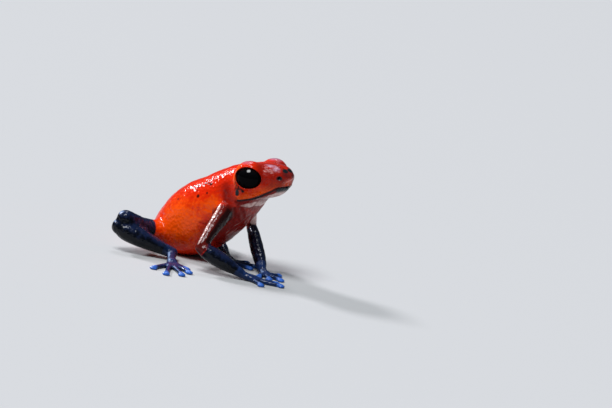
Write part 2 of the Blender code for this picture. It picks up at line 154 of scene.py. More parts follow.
# Each finger or toe: its middle and its tip on the ground, from the inner one outward
FINGERS = {
    "right": (((17.8, -3.3), (18.5, -2.7)), ((18.6, -3.2), (19.6, -2.25)),
              ((18.9, -3.55), (20.55, -2.80)), ((18.3, -4.6), (19.3, -5.1))),
    "left": (((16.4, -0.7), (16.6, -1.5)), ((17.1, -0.5), (17.9, -1.2)),
             ((17.5, 0.0), (18.8, -0.1)), ((17.0, 0.9), (17.2, 1.95))),
}
SOLE = {
    "right": (((7.05, -5.5, 0.78), 0.62), ((8.0, -6.8, 0.55), 0.52), ((9.0, -8.0, 0.42), 0.66)),
    "left": (((8.4, 3.35, 0.78), 0.62), ((9.6, 2.3, 0.55), 0.50), ((10.6, 1.3, 0.42), 0.64)),
}
TOES = {
    "right": (((10.1, -7.9), (11.2, -8.1)), ((10.6, -8.6), (12.3, -9.2)),
              ((10.5, -9.4), (12.6, -11.1)), ((10.0, -10.0), (11.6, -12.7)),
              ((9.1, -9.5), (9.2, -11.8))),
    "left": (((10.9, 0.3), (11.2, -0.7)), ((11.6, 0.6), (12.7, 0.0)), ((12.0, 1.2), (13.7, 1.2)),
             ((11.9, 2.0), (13.4, 3.0)), ((11.1, 2.3), (11.7, 3.6))),
}
SIDES = ("right", "left")
DIGIT_RADIUS = 0.27
DISC = (0.50, 0.44, 0.22)  # half the width, length and thickness of a disc at a digit's tip
SOLE_SINK = 0.06  # how far soft undersides press into the plane they rest on
PALM_FLATNESS = 0.82

# How finely the skin is made
SKIN_VOXEL = 0.14
TRUNK_SIDES = 72
RINGS_PER_STATION = 8
LIMB_SIDES = 28
DIGIT_SIDES = 16
RINGS_PER_POINT = 8
ROUND_END = (0.35, 0.7, 1.05, 1.35)  # the angles of the rings that round off a limb's end

# How the skin is smoothed
HANDS_TOP, BODY_BOTTOM = 0.9, 1.4  # hands and feet lie below the first height, the body above
BULGE_SHARE = 0.08  # how much a bulge gives way while the hollows are filled
SHARP_RIM = math.radians(50)
BUMPS = ((0.045, 0.8), (0.02, 2.2))  # the height of each size of bump, and how many to a mm
# The skin of the head is finer in front of and above these places, in mm
FINE_HEAD_X, FINE_HEAD_Z = 12.2, 7.4
SMOOTH_HEAD_X, SMOOTH_HEAD_Z = (12.0, 12.6), (7.2, 7.7)
FINE_MOUTH, FINE_NOSTRIL = 0.32, 0.5  # how far around them it is finer still


# Curves through a few points

def spline(values, t):
    """A smooth curve through equally spaced values, at the fractional place t."""
    last = len(values) - 1
    i = min(int(t), last - 1)
    f = t - i
    p0, p1, p2, p3 = (values[min(max(j, 0), last)] for j in (i - 1, i, i + 1, i + 2))
    return tuple(
        b + 0.5 * f * (c - a + f * (2 * a - 5 * b + 4 * c - d + f * (3 * (b - c) + d - a)))
        for a, b, c, d in zip(p0, p1, p2, p3)
    )


def ease(low, high, value):
    """0 below low, 1 above high, and a smooth rise between them."""
    share = np.clip((value - low) / (high - low), 0, 1)
    return share * share * (3 - 2 * share)


FLAT_STATIONS = tuple((*back, *belly, *rest) for back, belly, *rest in STATIONS)


def level_point(t, angle):
    """A point on the trunk or the upright head: angle 0 is the left side, 90 degrees the back."""
    bx, bz, vx, vz, width, middle, upper, lower = spline(FLAT_STATIONS, t)
    back, belly = Vector((bx, 0, bz)), Vector((vx, 0, vz))
    rise = (back - belly).normalized()
    centre = belly.lerp(back, middle)
    square = 2.0 / (upper if math.sin(angle) > 0 else lower)
    height = ((back - centre) if math.sin(angle) > 0 else (centre - belly)).length
    side = math.copysign(abs(math.cos(angle)) ** square, math.cos(angle)) * width
    up = math.copysign(abs(math.sin(angle)) ** square, math.sin(angle)) * height
    return centre + Vector((0, side, 0)) + rise * up


def head_matrix(t=LEAN_END):
    """How the upright head is leant and turned, as far as station t is."""
    share = float(ease(LEAN_START, LEAN_END, t))
    return Matrix.Rotation(HEAD_TURN * share, 3, "Z") @ Matrix.Rotation(HEAD_LEAN * share, 3, "X")


def lean(point, t=LEAN_END):
    return HEAD_PIVOT + head_matrix(t) @ (point - HEAD_PIVOT)


def folded(points):
    """Points of the leant head brought upright, and those of its left side mirrored to the right."""
    pivot = np.array(HEAD_PIVOT)
    level = (points - pivot) @ np.array(head_matrix()) + pivot
    level[:, 1] = -np.abs(level[:, 1])
    return level


def trunk_point(t, angle):
    return lean(level_point(t, angle), t)


# Closed meshes, made at one unit to the millimetre

def mesh_object(name, points, faces):
    mesh = bpy.data.meshes.new(name)
    mesh.from_pydata(points, [], faces)
    made = bpy.data.objects.new(name, mesh)
    bpy.context.scene.collection.objects.link(made)
    shape = bmesh.new()
    shape.from_mesh(mesh)
    bmesh.ops.recalc_face_normals(shape, faces=shape.faces)
    shape.to_mesh(mesh)
    shape.free()
    return made


def skin_rings(name, rings):
    """A closed surface over rings of points, each end filled from its middle."""
    sides = len(rings[0])
    points = [p for ring in rings for p in ring]
    faces = []
    for i in range(len(rings) - 1):
        for j in range(sides):
            k = (j + 1) % sides
            faces.append((i * sides + j, i * sides + k, (i + 1) * sides + k, (i + 1) * sides + j))
    for i in (0, len(rings) - 1):
        hub = len(points)
        points.append(sum((Vector(p) for p in rings[i]), Vector()) / sides)
        faces += [(hub, i * sides + j, i * sides + (j + 1) % sides) for j in range(sides)]
    return mesh_object(name, points, faces)


def trunk_form():
    count = (len(STATIONS) - 1) * RINGS_PER_STATION + 1
    turns = [2 * math.pi * (j + 0.5) / TRUNK_SIDES for j in range(TRUNK_SIDES)]
    stops = [(len(STATIONS) - 1) * i / (count - 1) for i in range(count)]
    return skin_rings("trunk", [[trunk_point(t, a) for a in turns] for t in stops])


def centre_line(path):
    """The points and radii along a smooth centre line."""
    values = [(*point, radius) for point, radius in path]
    steps = (len(values) - 1) * RINGS_PER_POINT
    return [spline(values, i / RINGS_PER_POINT) for i in range(steps + 1)]


def tube(name, path, sides=LIMB_SIDES, flat=1.0):
    """A tapering limb with round ends along a centre line of (point, radius) pairs."""
    line = centre_line(path)
    last = len(line) - 1
    centres = [Vector(v[:3]) for v in line]
    radii = [v[3] for v in line]
    heads = [(centres[min(i + 1, last)] - centres[max(i - 1, 0)]).normalized()
             for i in range(last + 1)]
    stops = [(centres[0] - heads[0] * radii[0] * math.sin(b), radii[0] * math.cos(b), heads[0])
             for b in reversed(ROUND_END)]
    stops += list(zip(centres, radii, heads))
    stops += [(centres[-1] + heads[-1] * radii[-1] * math.sin(b), radii[-1] * math.cos(b), heads[-1])
              for b in ROUND_END]
    side = heads[0].cross(Vector((0, 0, 1))).normalized()
    rings = []
    for centre, radius, head in stops:
        side = (side - head * side.dot(head)).normalized()
        up = side.cross(head)
        rings.append([
            centre + side * radius * math.cos(a) + up * radius * flat * math.sin(a)
            for a in (2 * math.pi * (j + 0.5) / sides for j in range(sides))
        ])
    return skin_rings(name, rings)


def ball(name, centre, radii, axis=Vector((0, 0, 1)), segments=48, rings=24):
    """An ellipsoid whose third radius lies along the axis."""
    across = axis.cross(Vector((0, 0, 1)))
    across = across.normalized() if across.length > 0.01 else Vector((1, 0, 0))
    over = axis.cross(across).normalized()
    circles = []
    for i in range(1, rings):
        b = math.pi * i / rings - math.pi / 2
        circles.append([
            centre + across * radii[0] * math.cos(b) * math.cos(a)
            + over * radii[1] * math.cos(b) * math.sin(a) + axis * radii[2] * math.sin(b)
            for a in (2 * math.pi * j / segments for j in range(segments))
        ])
    return skin_rings(name, circles)


# The head's features, placed on the upright head and then leant with it

def mirrored(vector):
    return Vector((vector.x, -vector.y, vector.z))


def on_both_sides(centre, axis):
    """The place and direction on the right and on the left, leant with the head."""
    yield lean(centre), head_matrix() @ axis
    yield lean(mirrored(centre)), head_matrix() @ mirrored(axis)


def surface_at(x, z):
    """The point of the right side of the upright head at this x and z."""
    turns = [math.radians(degrees) for degrees in range(92, 268, 2)]
    places = [level_point(t, a) for t in HEAD_STATIONS for a in turns]
    return min(places, key=lambda p: (p.x - x) ** 2 + (p.z - z) ** 2)


def mouth_height(x):
    return np.interp(x, *zip(*MOUTH))


def mouth_angle(t):
    """Where the ring t of the right side meets the line of the mouth."""
    low, high = math.radians(180), math.radians(268)
    for _ in range(30):
        angle = (low + high) / 2
        point = level_point(t, angle)
        low, high = (angle, high) if point.z > mouth_height(point.x) else (low, angle)
    return angle


def mouth_line():
    """Points along the right half of the upright head's mouth, from its corner to the front."""
    right = [level_point(t, mouth_angle(t)) for t in MOUTH_STATIONS]
    front = level_point(MOUTH_FRONT_STATION, math.pi * 1.5)
    return right + [Vector((front.x, 0, right[-1].z))]


MOUTH_LINE = mouth_line()
NOSTRIL_PLACE = surface_at(*NOSTRIL)
TYMPANUM_PLACE = surface_at(*TYMPANUM)


# Working on the one skin

def apply_modifier(target, kind, **settings):
    modifier = target.modifiers.new(kind.lower(), kind)
    for name, value in settings.items():
        setattr(modifier, name, value)
    bpy.context.view_layer.objects.active = target
    bpy.ops.object.modifier_apply(modifier=modifier.name)


def join(pieces):
    bpy.ops.object.select_all(action="DESELECT")
    for piece in pieces:
        piece.select_set(True)
    bpy.context.view_layer.objects.active = pieces[0]
    bpy.ops.object.join()
    bpy.ops.object.select_all(action="DESELECT")
    return pieces[0]


def cut_away(target, cutters):
    """One Boolean cut of all the cutters, which are then removed."""
    cutter = join(cutters)
    group = bpy.data.collections.new("cutters")
    bpy.context.scene.collection.children.link(group)
    bpy.context.scene.collection.objects.unlink(cutter)
    group.objects.link(cutter)
    apply_modifier(
        target, "BOOLEAN", operation="DIFFERENCE", operand_type="COLLECTION",
        collection=group, solver="MANIFOLD",
    )
    bpy.data.objects.remove(cutter)
    bpy.data.collections.remove(group)


class Clay:
    """The skin's vertices as arrays, to be pushed, pressed and smoothed as clay is."""

    def __init__(self, target):
        self.mesh = target.data
        count = len(self.mesh.vertices)
        self.points = np.empty(count * 3)
        self.mesh.vertices.foreach_get("co", self.points)
        self.points = self.points.reshape(-1, 3)
        ends = np.empty(len(self.mesh.edges) * 2, int)
        self.mesh.edges.foreach_get("vertices", ends)
        self.ends = ends.reshape(-1, 2)
        self.links = np.bincount(self.ends.ravel(), minlength=count)[:, None]
        self.feel()

    def feel(self):
        """Puts the points into the mesh and reads the way out at each."""
        self.mesh.vertices.foreach_set("co", self.points.ravel())
        self.mesh.update()
        normals = np.empty(len(self.points) * 3)
        self.mesh.vertex_normals.foreach_get("vector", normals)
        self.normals = normals.reshape(-1, 3)

    def pull(self):
        """The way from each point to the middle of its neighbours."""
        total = np.zeros_like(self.points)
        for near, far in (self.ends.T, self.ends.T[::-1]):
            for axis in range(3):
                total[:, axis] += np.bincount(near, self.points[far, axis], len(self.points))
        return total / self.links - self.points

    def smooth(self, rounds, share, hollows_only=False):
        """Moves points towards their neighbours; hollows_only fills creases and keeps bulges."""
        share = np.broadcast_to(share, len(self.points))
        for _ in range(rounds):
            move = self.pull()
            if hollows_only:
                out = np.einsum("ij,ij->i", move, self.normals)
                move = move * np.where(out > 0, 1.0, BULGE_SHARE)[:, None]
            self.points = self.points + move * share[:, None] * 0.5
            self.feel()

    def push(self, amount):
        """Moves the points outwards by an amount for each."""
        self.points = self.points + self.normals * np.asarray(amount)[:, None]
        self.feel()


def distance_to_line(points, line):
    """How far each point is from a line of points, and how far along it the nearest place is."""
    line = np.array([tuple(p) for p in line], float)
    best = np.full(len(points), np.inf)
    along = np.zeros(len(points))
    walked = 0.0
    for start, end in zip(line[:-1], line[1:]):
        way = end - start
        length = np.linalg.norm(way)
        share = np.clip((points - start) @ way / length**2, 0, 1)
        gap = np.linalg.norm(points - start - share[:, None] * way, axis=1)
        nearer = gap < best
        best = np.where(nearer, gap, best)
        along = np.where(nearer, walked + share * length, along)
        walked += length
    return best, along


def limb_reach(points, path):
    """How far each point is outside a limb, and how far along the limb it is, in mm."""
    line = centre_line(path)
    gap, along = distance_to_line(points, [v[:3] for v in line])
    steps = [math.dist(a[:3], b[:3]) for a, b in zip(line[:-1], line[1:])]
    places = np.concatenate([[0], np.cumsum(steps)])
    return gap - np.interp(along, places, [v[3] for v in line]), along


# The skin

def digit_forms(name, base_path, digits):
    """A hand or foot: a palm or sole with a thin digit to each tip, which ends in a disc."""
    root = Vector(base_path[-1 if "foot" in name else 1][0])
    height = DIGIT_RADIUS - SOLE_SINK
    made = [tube(name, base_path, flat=PALM_FLATNESS)]
    for middle, tip in digits:
        path = (
            (root, DIGIT_RADIUS * 1.15),
            ((*middle, height + 0.05), DIGIT_RADIUS),
            ((*tip, height), DIGIT_RADIUS * 0.95),
        )
        made.append(tube("digit", path, sides=DIGIT_SIDES))
        heading = Vector((tip[0] - middle[0], tip[1] - middle[1], 0)).normalized()
        disc = ball("disc", Vector(), (DISC[1], DISC[0], DISC[2]), segments=20, rings=10)
        place = Matrix.Translation((*tip, DISC[2] - SOLE_SINK))
        disc.data.transform(place @ Matrix.Rotation(math.atan2(heading.y, heading.x), 4, "Z"))
        made.append(disc)
    return made


def rough_skin():
    """All the frog's flesh as one closed surface, before its details."""
    forms = [trunk_form()]
    for centre, axis in on_both_sides(EYE_CENTRE, EYE_AXIS):
        forms.append(ball("brow", centre + Vector((0, 0, BROW_RISE)), BROW_RADII, axis))
    for side in SIDES:
        for path in (UPPER_ARM, FOREARM, THIGH, SHANK):
            forms.append(tube("limb", path[side]))
        forms += digit_forms("hand", PALM[side], FINGERS[side])
        forms += digit_forms("foot", SOLE[side], TOES[side])
    skin = join(forms)
    apply_modifier(skin, "REMESH", mode="VOXEL", voxel_size=SKIN_VOXEL, adaptivity=0.0)
    return skin


def refine(target, wanted):
    """Halves the size of the faces whose middles are wanted."""
    shape = bmesh.new()
    shape.from_mesh(target.data)
    faces = list(shape.faces)
    chosen = wanted(np.array([f.calc_center_median() for f in faces]))
    edges = list({e for f, choice in zip(faces, chosen) if choice for e in f.edges})
    bmesh.ops.subdivide_edges(shape, edges=edges, cuts=1, use_grid_fill=True)
    shape.to_mesh(target.data)
    shape.free()


def rim_share(target, angle):
    """1 at the vertices of edges that are sharper than the angle, and 0 elsewhere."""
    shape = bmesh.new()
    shape.from_mesh(target.data)
    share = np.zeros(len(shape.verts))
    for edge in shape.edges:
        if len(edge.link_faces) == 2 and edge.calc_face_angle() > angle:
            for vert in edge.verts:
                share[vert.index] = 1.0
    shape.free()
    return share


def eye_cutters():
    """What is cut from the head for each eye: the ball's socket and the opening of the lids."""
    made = []
    for centre, axis in on_both_sides(EYE_CENTRE, EYE_AXIS):
        made.append(ball("socket", centre, (SOCKET_RADIUS,) * 3, axis))
        across = axis.cross(Vector((0, 0, 1))).normalized()
        over = axis.cross(across).normalized()
        rings = []
        for out, flare in OPENING_RINGS:
            rings.append([
                centre + axis * out + across * LID_OPENING[0] * flare * math.cos(a)
                + over * (LID_OPENING[1] * flare * math.sin(a) + LID_DROP)
                for a in (2 * math.pi * j / OPENING_SIDES for j in range(OPENING_SIDES))
            ])
        made.append(skin_rings("opening", rings))
    return made


def distance_to(points, place):
    return np.linalg.norm(points - np.array(place), axis=1)


def hill(distance, width):
    """1 at no distance, falling away smoothly over the width."""
    return np.exp(-(distance / width) ** 2)


def carve_head(skin):
    """The mouth, lips, nostrils, eardrums and lids, pressed into the head."""
    def near_detail(points):
        level = folded(points)
        near_mouth = distance_to_line(level, MOUTH_LINE)[0] < FINE_MOUTH
        return near_mouth | (distance_to(level, NOSTRIL_PLACE) < FINE_NOSTRIL)

    refine(skin, near_detail)
    clay = Clay(skin)
    level = folded(clay.points)
    gap, _ = distance_to_line(level, MOUTH_LINE)
    nostril_gap = distance_to(level, NOSTRIL_PLACE)
    eardrum_gap = distance_to(level, TYMPANUM_PLACE)
    clay.smooth(2, ease(0.5, 0.3, np.minimum(gap, nostril_gap)))
    above = level[:, 2] > mouth_height(level[:, 0])
    corner = ease(0.0, 0.8, distance_to(level, MOUTH_LINE[0]))
    groove = MOUTH_DEPTH * (0.4 + 0.6 * corner) * hill(gap, MOUTH_WIDTH)
    lip = UPPER_LIP_RISE * hill(gap - 0.2, 0.11) * above
    under = LOWER_LIP_SINK * hill(gap - 0.1, 0.14) * ~above
    clay.push((lip - under) * corner - groove)
    rim = NOSTRIL_RIM_HEIGHT * hill(nostril_gap - NOSTRIL_RIM_RADIUS, 0.10)
    clay.push(rim - NOSTRIL_DEPTH * hill(nostril_gap, NOSTRIL_RADIUS))
    rim = TYMPANUM_RIM_DEPTH * hill(eardrum_gap - TYMPANUM_RADIUS, 0.08)
    inside = ease(TYMPANUM_RADIUS, TYMPANUM_RADIUS - 0.1, eardrum_gap)
    clay.push(-rim - TYMPANUM_DEPTH * inside)
    for centre, _ in on_both_sides(EYE_CENTRE, EYE_AXIS):
        gap = distance_to(clay.points, centre)
        grown = np.maximum(gap, LID_RADIUS) / gap
        clay.points = (clay.points - np.array(centre)) * grown[:, None] + np.array(centre)
    clay.feel()


def crease_gap(points, line):
    """How far points are from a crease of the right side or from its mirror image."""
    mirrored_line = [(x, -y, z) for x, y, z in line]
    return np.minimum(distance_to_line(points, line)[0], distance_to_line(points, mirrored_line)[0])


def uneven(points, scale):
    """Soft unevenness between about -1 and 1."""
    return np.array([noise.noise(Vector(p) * scale) for p in points])


def make_skin():
    skin = rough_skin()

    clay = Clay(skin)
    # creases between the limbs and the trunk fill up more than those between the fingers
    low = ease(BODY_BOTTOM, HANDS_TOP, clay.points[:, 2])
    clay.smooth(8, 1.0, hollows_only=True)
    clay.smooth(34, 1.0 - low, hollows_only=True)
    clay.smooth(2, 0.8)
    for line, depth in CREASES:
        gap = crease_gap(clay.points, line)
        edges = CREASE_EDGE_SHARE * hill(gap - CREASE_EDGE, CREASE_WIDTH)
        clay.push(depth * (edges - hill(gap, CREASE_WIDTH)))
    bumps = sum(height * uneven(clay.points, scale) for height, scale in BUMPS)
    clay.push(bumps * (1.0 - low))

    refine(skin, lambda middles: (middles[:, 0] > FINE_HEAD_X) & (middles[:, 2] > FINE_HEAD_Z))
    clay = Clay(skin)
    forward, up = clay.points[:, 0], clay.points[:, 2]
    clay.smooth(3, ease(*SMOOTH_HEAD_X, forward) * ease(*SMOOTH_HEAD_Z, up))
    carve_head(skin)
    cut_away(skin, eye_cutters())

    clay = Clay(skin)
    clay.smooth(2, rim_share(skin, SHARP_RIM))
    clay.points[:, 2] = np.maximum(clay.points[:, 2], 0.0)
    clay.feel()
    skin.name = skin.data.name = "skin"
    skin.data.materials.clear()
    return skin


# Bringing a piece into the frame

def place_piece(piece):
    """Brings a piece from millimetres in the frog's frame to metres in the solids' frame."""
    piece.data.transform(Matrix.Scale(MM, 4))
    piece.data.transform(Matrix.Translation(SHIFT))
    piece.data.shade_smooth()


def box_centre(node):
    low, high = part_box(node)
    return (Vector(low) + Vector(high)) / 2


SHIFT = box_centre("eye_right") - lean(EYE_CENTRE) * MM
SHIFT.z = 0.0


def make_eye(side, centre, axis):
    bpy.ops.object.select_all(action="DESELECT")
    bpy.ops.mesh.primitive_uv_sphere_add(segments=64, ring_count=32, radius=EYE_RADIUS)
    eye = bpy.context.object
    eye.name = "eyeball_" + side
    turn = axis.to_track_quat("Z", "Y").to_matrix().to_4x4()
    eye.data.transform(Matrix.Translation(centre) @ turn)
    return eye


# Shader maths

class Socket:
    """An output of a material's node, on which arithmetic adds Math nodes."""

    def __init__(self, finish, output):
        self.finish = finish
        self.output = output

    def math(self, operation, *others):
        node = self.finish.node("ShaderNodeMath", {"operation": operation}, dict(enumerate(others)))
        return Socket(self.finish, node.outputs[0])

    def __add__(self, other):
        return self.math("ADD", self, other)

    def __radd__(self, other):
        return self.math("ADD", other, self)

    def __sub__(self, other):
        return self.math("SUBTRACT", self, other)

    def __rsub__(self, other):
        return self.math("SUBTRACT", other, self)

    def __mul__(self, other):
        return self.math("MULTIPLY", self, other)

    def __rmul__(self, other):
        return self.math("MULTIPLY", other, self)

    def at_least(self, other):
        return self.math("MAXIMUM", self, other)

    def between(self, low, high):
        """0 where this is at low, 1 at high, and a smooth rise between them."""
        node = self.finish.node(
            "ShaderNodeMapRange", {"interpolation_type": "SMOOTHSTEP"},
            {"Value": self, "From Min": low, "From Max": high},
        )
        return Socket(self.finish, node.outputs["Result"])


class Finish:
    """A material whose nodes are added by name."""

    def __init__(self, name, **constants):
        self.material = bpy.data.materials.new(name)
        self.material.use_nodes = True
        self.tree = self.material.node_tree
        self.shader = self.tree.nodes["Principled BSDF"]
        for socket, value in constants.items():
            self.shader.inputs[socket.replace("_", " ")].default_value = value

    def node(self, kind, settings, inputs):
        made = self.tree.nodes.new(kind)
        for name, value in settings.items():
            setattr(made, name, value)
        for name, value in inputs.items():
            self.feed(made.inputs[name], value)
        return made

    def feed(self, socket, value):
        if isinstance(value, Socket):
            self.tree.links.new(value.output, socket)
        else:
            socket.default_value = value

    def place(self):
        """Object coordinates in millimetres of the frog's frame."""
        found = self.node("ShaderNodeTexCoord", {}, {})
        placed = self.node(
            "ShaderNodeVectorMath", {"operation": "MULTIPLY_ADD"},
            {0: Socket(self, found.outputs["Object"]), 1: (1 / MM,) * 3, 2: tuple(-SHIFT / MM)},
        )
        return Socket(self, placed.outputs[0])

    def stored(self, name):
        node = self.node("ShaderNodeAttribute", {"attribute_name": name}, {})
        return Socket(self, node.outputs["Fac"])

    def noise(self, place, scale, detail=2.0, roughness=0.5):
        node = self.node(
            "ShaderNodeTexNoise", {},
            {"Vector": place, "Scale": scale, "Detail": detail, "Roughness": roughness},
        )
        return Socket(self, node.outputs["Fac"])

    def granules(self, place, scale):
        node = self.node(
            "ShaderNodeTexVoronoi", {"feature": "SMOOTH_F1"},
            {"Vector": place, "Scale": scale, "Smoothness": 0.5},
        )
        return Socket(self, node.outputs["Distance"])

    def spots(self, place, spots, soft):
        """1 inside any of the spots, each a centre and a radius, and 0 outside."""
        total = None
        for centre, radius in spots:
            node = self.node("ShaderNodeVectorMath", {"operation": "DISTANCE"}, {0: place, 1: centre})
            one = Socket(self, node.outputs["Value"]).between(radius + soft, radius - soft)
            total = one if total is None else total.at_least(one)
        return total

    def mix(self, first, second, factor):
        """The second colour over the first, where the factor is 1."""
        node = self.node(
            "ShaderNodeMix", {"data_type": "RGBA", "clamp_factor": True},
            {0: factor, 6: colour(first), 7: colour(second)},
        )
        return Socket(self, node.outputs[2])


def colour(value):
    return value if isinstance(value, Socket) else (*value, 1.0)


# Colours, as red, green and blue light

RED = (0.66, 0.018, 0.0012)
ORANGE = (0.90, 0.080, 0.002)
DEEP_RED = (0.21, 0.0045, 0.0015)
# the lavender of a painted sheen on the lids and the snout
PAINTED_SHEEN_LAVENDER = (0.40, 0.19, 0.27)
MAROON = (0.11, 0.007, 0.005)
PINK = (0.86, 0.62, 0.57)
DARK_BROWN = (0.018, 0.004, 0.004)
BLUE_BLACK = (0.002, 0.003, 0.006)
NAVY = (0.008, 0.015, 0.050)
BRIGHT_BLUE = (0.045, 0.16, 0.62)
TEAL_BLACK = (0.006, 0.014, 0.018)
# the silvery blue of painted glints on the limbs
PAINTED_GLINT_BLUE = (0.30, 0.40, 0.62)

# How many of each there are to a millimetre of the skin's pattern, and how deep its pits are
BLOTCHES, MOTTLING, GRAINS, FINE_GRAINS = 0.6, 1.9, 2.9, 7.0
PIT_DEPTH = 0.055

# Small dark specks on the back, at places on the right side, with their radii
SPECKS = (
    ((8.08, -3.63, 7.74), 0.20), ((9.15, -3.52, 8.34), 0.13), ((9.19, -3.05, 9.38), 0.20),
    ((8.80, -2.95, 9.36), 0.13), ((8.35, -2.83, 9.30), 0.17), ((7.46, -2.99, 8.63), 0.16),
    ((7.62, -3.25, 8.25), 0.10), ((5.22, -3.31, 6.71), 0.13), ((8.6, -3.2, 8.6), 0.09),
    ((9.7, -2.6, 10.1), 0.12), ((6.6, -2.6, 8.6), 0.11), ((10.3, -3.1, 9.3), 0.10),
)


def skin_finish():
    finish = Finish("wet_skin", IOR=1.42, Specular_IOR_Level=0.26)
    place = finish.place()
    blotches = finish.noise(place, BLOTCHES, 3.0)
    mottle = finish.noise(place, MOTTLING, 3.0, 0.62)
    grain = finish.granules(place, GRAINS)
    fine = finish.granules(place, FINE_GRAINS)

    warmth = finish.stored("orange") * 0.9 + mottle * 0.9 + blotches * 0.5 - grain * 0.35
    body = finish.mix(RED, ORANGE, warmth.between(0.55, 1.35))
    # deep red, partly the skin's own and partly painted shade on the chest, the neck and in the
    # creases
    body = finish.mix(body, DEEP_RED, finish.stored("deep_red_and_shade") * (mottle * 0.8 + 0.62))
    # maroon and dark brown of the upper arms and elbows, with painted shade on the near arm's inner
    # side
    arm = finish.stored("arm") + (mottle - 0.5) * 0.3
    body = finish.mix(body, MAROON, arm.between(0.05, 0.5))
    body = finish.mix(body, DARK_BROWN, arm.between(0.5, 0.95))
    # painted highlights under the jaw, along a crease and on the near arm, and a pale patch at the far
    # armpit
    pale_and_highlight = (finish.stored("pale_and_highlight") * (mottle + 0.45)).between(0.15, 1.0)
    body = finish.mix(body, PINK, pale_and_highlight * 0.85)
    # a painted lavender sheen on the lids and the top of the snout
    painted_lavender_sheen = (finish.stored("painted_lavender_sheen") * (mottle * 1.8 + 0.2)).between(0.4, 1.1)
    body = finish.mix(body, PAINTED_SHEEN_LAVENDER, painted_lavender_sheen * 0.95)
    body = finish.mix(body, DARK_BROWN, finish.spots(place, SPECKS, 0.07) * 0.92)

    # a painted sky sheen: lighter navy where the limbs face up, broken by mottling and grains
    sheen = finish.stored("sheen") * 0.75 + (mottle - 0.5) * 1.6 + (1.0 - fine) * 0.25
    legs = finish.mix(BLUE_BLACK, NAVY, sheen.between(0.2, 1.05))
    legs = finish.mix(legs, BRIGHT_BLUE, finish.stored("blue") * (mottle * 0.9 + 0.35))
    # painted glints: silvery blue streaks where the limbs face one way
    painted_glint = (finish.stored("painted_glint") * (mottle * 1.8 + 0.1)).between(0.4, 1.1)
    legs = finish.mix(legs, PAINTED_GLINT_BLUE, painted_glint * 0.7)
    edge = finish.stored("leg") + (mottle - 0.5) * 0.35
    skin = finish.mix(body, legs, edge.between(-0.09, 0.09))
    # teal black: the chin's patch, marks and spots, and painted shade in the mouth, nostrils and lids'
    # margins
    skin = finish.mix(skin, TEAL_BLACK, finish.stored("dark"))
    finish.feed(finish.shader.inputs["Base Color"], skin)
    finish.feed(finish.shader.inputs["Roughness"], mottle * 0.14 + finish.stored("deep_red_and_shade") * 0.14 + 0.10)

    height = (1.0 - grain) + (1.0 - fine) * 0.16
    pits = {"Strength": 1.0, "Distance": PIT_DEPTH * MM, "Height": height}
    bump = finish.node("ShaderNodeBump", {}, pits)
    finish.feed(finish.shader.inputs["Normal"], Socket(finish, bump.outputs["Normal"]))
    return finish.material


def eye_finish():
    finish = Finish(
        "wet_eye", Base_Color=(0.0015, 0.0015, 0.002, 1), Roughness=0.4, Specular_IOR_Level=0.0,
        Coat_Roughness=0.09, Coat_IOR=1.36,
    )
    # the lower half of the eye is made to reflect less, so that it stays black
    height = finish.node("ShaderNodeSeparateXYZ", {}, {"Vector": finish.place()}).outputs["Z"]
    wet = Socket(finish, height).between(EYE_CENTRE.z + 0.1, EYE_CENTRE.z + 0.8)
    finish.feed(finish.shader.inputs["Coat Weight"], wet * 0.9 + 0.1)
    return finish.material


def store(piece, name, values):
    attribute = piece.data.attributes.new(name, "FLOAT", "POINT")
    attribute.data.foreach_set("value", np.asarray(values, np.float32))


# Where the colours lie. A place is on the right side, which the left side mirrors, unless its
# name says near or far. A stretch is how many times longer a mark is along each axis.

# How far outside the forms of the limbs their skin can lie, in mm
THIGH_COAT, SHANK_COAT, SOLE_COAT = 0.6, 0.45, 0.55
ARM_COAT, FOREARM_COAT, DIGIT_COAT = 0.3, 0.25, 0.65
THIGH_START = 3.75  # how far along a thigh its blue-black begins
FOREARM_START = 0.6
PALM_BLUE, SOLE_BLUE, DIGIT_BLUE = 0.12, 0.06, 0.12
DISC_REACH = (0.75, 0.35)  # how far from a disc's middle its blue begins, and where it is full
# How far along the near upper arm the painted shade of its inner side and its dark lower half come in
INNER_DARK, LOWER_DARK = (1.1, 2.0), (3.4, 6.2)
ELBOW_REACH, ELBOW_DARK = 0.4, 0.62
INNER_ARM = (0.80, 0.35, -0.35)  # the way that the painted shade on an upper arm faces
PAINTED_GLINT_SIDE = (-0.32, -0.56, 0.76)  # the way that the painted glints on the limbs face
STREAK_SIDE = (-0.24, -0.73, 0.64)  # the way that the painted highlight streak of the near arm faces

FLANK = ((6.3, -4.0, 4.32), (1.5, 1, 1.2))
SHOULDER = (10.3, -3.8, 7.1)
CHEEK = ((13.6, -3.2, 9.2), (15.2, -2.9, 9.9), (16.8, -2.0, 10.8))
NECK = ((11.3, -3.2, 9.5), (12.0, -3.3, 8.5), (12.2, -3.1, 7.6))
THROAT = ((12.6, -1.04, 6.1), (1, 1.3, 1))
VENT = (1.2, 0, 2.2)
SNOUT = ((16.12, -1.4, 12.0), (1.3, 1, 1))
# Where the painted lavender sheen lies on the lids and the top of the snout
NEAR_LID_TOP = ((13.5, -2.95, 12.7), (1.5, 1, 1))
FAR_LID_TOP = ((14.1, 1.9, 13.15), (1.5, 1, 1))
FOREHEAD = ((15.4, -1.1, 13.0), (16.9, -1.1, 12.7))
# The painted pale highlight under the jaw: how far below the mouth its edges lie, for some x
JAW_TOP = ((13.0, 13.9, 14.8), (0.68, 0.45, 0.30))
JAW_BOTTOM = ((13.0, 13.7, 14.3, 15.0), (0.70, 0.95, 1.3, 1.25))
# The thin dark mark from under the eye towards the eardrum, seen from the side
EYE_MARK = ((13.56, 0, 10.27), (13.27, 0, 9.85), (13.6, 0, 9.97), (14.0, 0, 9.98))
